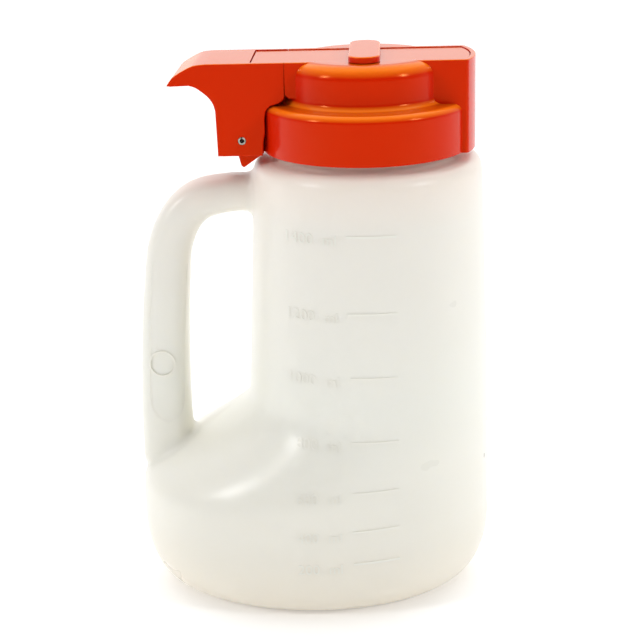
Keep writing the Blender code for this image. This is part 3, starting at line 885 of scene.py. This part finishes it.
block_shape = nose_solid(nose_radius, block_half, 0, skirt_z, lid_top)
soften_edges(block_shape, nose_corner, 1.0)
soften_edges(block_shape, nose_rim, small_round)
fuse(lid, piece_of("nose_block", block_shape, orange_plastic))

stub_outline = [
    (stub_x, lid_top),
    (stub_x, 209.4),
    (stub_x + 1.4, 208.0),
    (lid_x, 207.0),
    (lid_x, lid_top),
]
stub_shape = slab(stub_outline, -block_half, block_half)
soften_edges(stub_shape, stub_rim, small_round)
fuse(lid, piece_of("channel_stub", stub_shape, orange_plastic))

lug_outline = [(lid_x - 40.0, 199.0)]
for i in range(13):
    turn = math.radians(60 + 10 * i)
    lug_outline.append((pivot.x + eye_radius * math.cos(turn), pivot.z + eye_radius * math.sin(turn)))
lug_outline += [(pivot.x - 1.6, 184.2), (pivot.x - 0.8, 181.0), (pivot.x, 180.4), (pivot.x + 0.6, 180.6)]
lug_outline += [(pivot.x + 6.0, 184.4), (lid_x - 40.0, 186.0)]
lug_in = 10.6
lug_out = 14.6
for low_y, high_y in ((-lug_out, -lug_in), (lug_in, lug_out)):
    fuse(lid, piece_of("lug", slab(lug_outline, low_y, high_y), orange_plastic))

# A low web on the step closes the view through the seam between the lever and the stub.
web_outline = [
    (lid_x - 37.5, 204.2),
    (lid_x - 37.2, 205.0),
    (lid_x - 34.0, 206.2),
    (lid_x - 32.6, 209.0),
    (lid_x - 30.9, 209.0),
    (lid_x - 30.9, 204.2),
]
web_half = 8
fuse(lid, piece_of("web", slab(web_outline, -web_half, web_half), orange_plastic))

bore_outline = [
    (0, skirt_z - 5),
    (skirt_bore, skirt_z - 5),
    (skirt_bore, roof_z),
    (dome_bore, roof_z),
    (dome_bore, dome_z),
    (0, dome_z),
]
bore_shape = lathe(bore_outline, 128)
round_ring(bore_shape, dome_bore, dome_z, 3.0, 5)
round_ring(bore_shape, skirt_bore, roof_z, 1.0, 3)
fuse(lid, piece_of("lid_bore", bore_shape, orange_plastic), "DIFFERENCE")

hole_near = lid_x + 34.3
hole_far = lid_x + 39.6
hole_half = 9.0
chute_near = lid_x + 20
chute_half = 13
chute_shape = block_between((chute_near, -chute_half, step_z + 0.6), (hole_far, chute_half, dome_z))
fuse(lid, piece_of("chute", chute_shape, orange_plastic), "DIFFERENCE")
channel_shape = nose_solid(channel_radius, channel_half, channel_back, channel_floor, lid_top + 3)
fuse(lid, piece_of("channel", channel_shape, orange_plastic), "DIFFERENCE")
hole_shape = block_between((hole_near, -hole_half, dome_z - 1), (hole_far, hole_half, channel_floor + 1))
soften_edges(hole_shape, lambda edge: height_of(edge) > 1, 1.2, 4)
fuse(lid, piece_of("pour_hole", hole_shape, orange_plastic), "DIFFERENCE")
pin_hole = rod_y(pivot.x, pivot.z, pin_hole_radius, pin_hole_half)
fuse(lid, piece_of("pin_hole", pin_hole, orange_plastic), "DIFFERENCE")
lid_ridge_crest = 37.1
lid_ridge_shape = bmesh.new()
thread_ridges(lid_ridge_shape, skirt_bore + 0.7, lid_ridge_crest, neck_thread_z + lead / 4)
fuse(lid, piece_of("lid_thread", lid_ridge_shape, orange_plastic))

rim_shape = bmesh.new()
rim_shape.from_mesh(lid.data)
bmesh.ops.scale(rim_shape, verts=rim_shape.verts, vec=(1 / MM, 1 / MM, 1 / MM))


def channel_rim(edge):
    """True for the sharp edges where the channel's walls meet the lid's top."""
    if len(edge.link_faces) != 2 or not lies_above(edge, lid_top):
        return False
    return edge.calc_face_angle() > 1.0 and all(abs(vert.co.y) < channel_half + 0.05 for vert in edge.verts)


soften_edges(rim_shape, channel_rim, 0.3, 2)
bmesh.ops.scale(rim_shape, verts=rim_shape.verts, vec=(MM, MM, MM))
rim_shape.to_mesh(lid.data)
rim_shape.free()
even_shading(lid)
belong(lid, "lid", "orange_plastic", "lid_shell")

# ---------------------------------------------------------------- Shutter
# A flat slide, moulded in the same orange plastic, that lies in the lid's channel. A tongue at its tail
# carries a cross bar that the lever pulls, and a soft pad under its far end closes the pouring hole.

slide_high = box_mm("shutter_slide")[1]
plate_z = 219.0
plate_top = slide_high.z
slide_back = -44.0
slide_tail = lid_x + slide_back
slide_shape = nose_solid(slide_high.x - lid_x, slide_high.y, slide_back, plate_z, plate_top)
soften_edges(slide_shape, lambda edge: lies_above(edge, plate_top), 0.25, 2)
slide = piece_of("shutter_plate", slide_shape, orange_plastic)
pad_margin = 1.8
pocket = block_between(
    (hole_near - pad_margin, -hole_half - pad_margin, plate_z - 1),
    (hole_far + 0.6, hole_half + pad_margin, plate_z + 0.8),
)
fuse(slide, piece_of("pad_pocket", pocket, orange_plastic), "DIFFERENCE")
bar_z = 216.5
bar_radius = 1.4
bar_half = 9
tongue_half_height = 0.9
tongue_half = 4
tongue_outline = [
    (pivot.x - 0.4, bar_z - tongue_half_height),
    (slide_tail + 2.4, bar_z - tongue_half_height),
    (slide_tail + 2.4, plate_z + 0.5),
    (slide_tail, plate_z + 0.5),
    (slide_tail, bar_z + tongue_half_height),
    (pivot.x - 0.4, bar_z + tongue_half_height),
]
tongue = slab(tongue_outline, -tongue_half, tongue_half)
fuse(slide, piece_of("tongue", tongue, orange_plastic))
bar = rod_y(pivot.x, bar_z, bar_radius, bar_half)
fuse(slide, piece_of("tail_bar", bar, orange_plastic))
even_shading(slide)
belong(slide, "shutter", "orange_plastic", "shutter_slide")

# ---------------------------------------------------------------- Slide keeper
# A separate strap of the same orange plastic, with half-round ends, pressed by two pegs into the lid's top.
# It bridges the channel and stops the shutter from lifting out.

peg_radius = 0.85
peg_length = 3.2
peg_middle_z = lid_top - 0.4
keeper_low, keeper_high = box_mm("slide_keeper")
keeper_half = (keeper_high.x - keeper_low.x) / 2
strap_shape = bmesh.new()
for centre_y in (keeper_low.y + keeper_half, keeper_high.y - keeper_half):
    disc = bmesh.ops.create_circle(strap_shape, segments=64, radius=keeper_half)["verts"]
    bmesh.ops.translate(strap_shape, verts=disc, vec=(lid_x, centre_y, 0))
bmesh.ops.convex_hull(strap_shape, input=strap_shape.verts)
bmesh.ops.dissolve_limit(strap_shape, angle_limit=0.01, verts=strap_shape.verts, edges=strap_shape.edges)
raise_face(strap_shape, lid_top + 0.3, keeper_high.z)
soften_edges(strap_shape, lambda edge: lies_above(edge, keeper_high.z), 0.7, 5)
keeper = piece_of("keeper_strap", strap_shape, orange_plastic)
for peg_y in (-20.5, 17.0):
    peg = bmesh.new()
    bmesh.ops.create_cone(
        peg, cap_ends=True, segments=24, radius1=peg_radius, radius2=peg_radius, depth=peg_length
    )
    bmesh.ops.translate(peg, verts=peg.verts, vec=(lid_x, peg_y, peg_middle_z))
    fuse(keeper, piece_of("peg", peg, orange_plastic))
even_shading(keeper)
belong(keeper, "lid", "orange_plastic", "slide_keeper")

# ---------------------------------------------------------------- Thumb lever
# One moulding in the same orange plastic: a deck that ends in a hooked thumb rest, on two cheeks that
# straddle the lid's lugs. Its underside is hollow, and ribs under the deck hold the shutter's cross bar.

lever_half = block_half
foot_z = -6.0


def smooth_row(points, steps):
    """Runs a smooth row of points through the given ones."""
    row = []
    for i in range(len(points) - 1):
        a, b, c, d = (Vector(points[min(max(i + k, 0), len(points) - 1)]) for k in (-1, 0, 1, 2))
        square = 2 * a - 5 * b + 4 * c - d
        cube = 3 * b - a - 3 * c + d
        for k in range(steps):
            t = k / steps
            row.append(0.5 * (2 * b + (c - a) * t + square * t**2 + cube * t**3))
    return [(p.x, p.y) for p in row] + [points[-1]]


def moved_aside(points, distance):
    """Moves an open row of points to the left of the way that it runs."""
    moved = []
    for i, point in enumerate(points):
        before = Vector(points[max(i - 1, 0)])
        after = Vector(points[min(i + 1, len(points) - 1)])
        along = (after - before).normalized()
        moved.append((point[0] - along.y * distance, point[1] + along.x * distance))
    return moved


deck_z = lid_top - pivot.z
crown = smooth_row(
    [(-28.6, 22.0), (-26.4, 25.0), (-23.4, 27.1), (-20.0, 28.9), (-17.2, 29.9), (-13.0, deck_z)], 5
)
top_line = [*crown, (17.2, deck_z)]
throat = smooth_row(
    [(-20.0, 22.0), (-17.7, 21.3), (-15.5, 19.9), (-12.5, 17.3), (-10.7, 14.5), (-10.0, 11.8)], 4
)
back_line = [(-27.0, 21.8), *throat, (-9.6, foot_z)]
front_line = [(17.0, 16.6), (16.2, 15.4), (14.9, 14.6), (13.2, 14.1), (11.5, 13.6), (10.2, 12.5)]
front_line += [(9.6, 11.4), (9.1, 8.5), (9.1, 3.0), (8.3, -1.0), (7.9, foot_z)]
lever_outline = [(pivot.x + x, pivot.z + z) for x, z in top_line + front_line + back_line[::-1]]
lever_shape = slab(lever_outline, -lever_half, lever_half)
square_from_x = pivot.x + 16.5


def cheek_edge(edge):
    """True for the outline's edges on the lever's two sides, but not at the end that meets the lid."""
    first, second = edge.verts
    on_side = abs(abs(first.co.y) - lever_half) < hair and abs(first.co.y - second.co.y) < hair
    return on_side and min(first.co.x, second.co.x) < square_from_x


soften_edges(lever_shape, cheek_edge, 0.4)
lever = piece_of("thumb_lever_moulding", lever_shape, orange_plastic)
inner = channel_half + 0.1
lever_wall = 2.2
hollow_from = 10
open_x = 25.0
open_z = foot_z - 5
ceiling = moved_aside(top_line[hollow_from:], -lever_wall)
behind = moved_aside(back_line[1:], lever_wall)
open_side = [(open_x, ceiling[-1][1]), (open_x, open_z), (behind[-1][0], open_z)]
hollow_outline = [(pivot.x + x, pivot.z + z) for x, z in ceiling[:-1] + open_side + behind[::-1]]
fuse(lever, piece_of("lever_hollow", slab(hollow_outline, -inner, inner), orange_plastic), "DIFFERENCE")
fork = block_between((slide_tail - 0.3, -inner, lid_top - 4), (pivot.x + open_x, inner, lid_top + 3))
fuse(lever, piece_of("fork", fork, orange_plastic), "DIFFERENCE")
cheek_hole = rod_y(pivot.x, pivot.z, pin_hole_radius, pin_hole_half)
fuse(lever, piece_of("cheek_hole", cheek_hole, orange_plastic), "DIFFERENCE")
rib_thickness = 1.65
rib_z = bar_z - bar_radius - 1.0
for near_x, low_y, high_y in ((-3.7, -10.0, 10.0), (2.05, -9.5, -5.0), (2.05, 5.0, 9.5)):
    rib_low = (pivot.x + near_x, low_y, rib_z)
    rib_high = (pivot.x + near_x + rib_thickness, high_y, lid_top - 1.5)
    fuse(lever, piece_of("rib", block_between(rib_low, rib_high), orange_plastic))
even_shading(lever)
belong(lever, "thumb_lever", "orange_plastic", "thumb_lever")

# ---------------------------------------------------------------- Pivot pin and return spring
# The pin is a rolled tube of spring steel with a slot along it, pressed through the lugs and cheeks. A
# torsion spring of the same steel is wound round it. Both keep the CAD's own meshes.

spring_steel = bpy.data.materials.new("spring_steel")
spring_steel.use_nodes = True
tree = spring_steel.node_tree
shader = tree.nodes["Principled BSDF"]
shader.inputs["Metallic"].default_value = 1.0
place = tree.nodes.new("ShaderNodeTexCoord").outputs["Object"]
drawn = tree.nodes.new("ShaderNodeMapping")
drawn.inputs["Scale"].default_value = (4000, 150, 4000)
tree.links.new(place, drawn.inputs["Vector"])
streak = noise_node(tree, drawn.outputs["Vector"], 1.0, 3.0)
stain = noise_node(tree, place, 600.0, 2.0)
steel_color = ramp_node(tree, stain, [(0.35, (0.30, 0.27, 0.22)), (0.6, (0.62, 0.60, 0.55))])
tree.links.new(steel_color, shader.inputs["Base Color"])
streaked = math_node(tree, "MULTIPLY", streak, 0.3)
tree.links.new(math_node(tree, "ADD", streaked, 0.18), shader.inputs["Roughness"])

for node in ("pivot_pin", "return_spring"):
    frame["nodes"][node].data.materials.clear()
    frame["nodes"][node].data.materials.append(spring_steel)

# ---------------------------------------------------------------- Seals
# A flat ring of grey silicone under the lid's roof closes on the neck, and a pad of the same silicone is
# pressed into a pocket in the shutter. Both have a fine, dull skin.

grey_silicone, tree, shader, skin = plastic_material(
    "grey_silicone",
    {"Cloud Scale": 90.0, "Grain Scale": 1800.0, "Gloss": 0.55, "Gloss Spread": 0.1},
    0.00005,
    {"IOR": 1.42, "Specular IOR Level": 0.3},
)
seal_color = mixed_color(tree, skin.outputs["Cloud"], (0.56, 0.56, 0.54), (0.44, 0.44, 0.43), 0.8)
tree.links.new(seal_color, shader.inputs["Base Color"])
gasket_low, gasket_high = box_mm("lid_gasket")
gasket_bore = 33.0
gasket_outline = [
    (gasket_bore, gasket_low.z),
    (gasket_high.y, gasket_low.z),
    (gasket_high.y, gasket_high.z),
    (gasket_bore, gasket_high.z),
]
gasket_shape = lathe(gasket_outline, 128)
for radius in (gasket_bore, gasket_high.y):
    for level_z in (gasket_low.z, gasket_high.z):
        round_ring(gasket_shape, radius, level_z, 0.4, 3)
gasket = piece_of("gasket_ring", gasket_shape, grey_silicone)
belong(gasket, "neck_seal", "seal_rubber", "lid_gasket")
pad_low, pad_high = box_mm("shutter_pad")
pad_shape = block_between(pad_low, pad_high)
soften_edges(pad_shape, lambda edge: height_of(edge) > 0.1, 1.2, 4)
soften_edges(pad_shape, lambda edge: max(vert.co.z for vert in edge.verts) < pad_low.z + hair, 0.2, 2)
pad = piece_of("shutter_seal", pad_shape, grey_silicone)
belong(pad, "shutter", "seal_rubber", "shutter_pad")
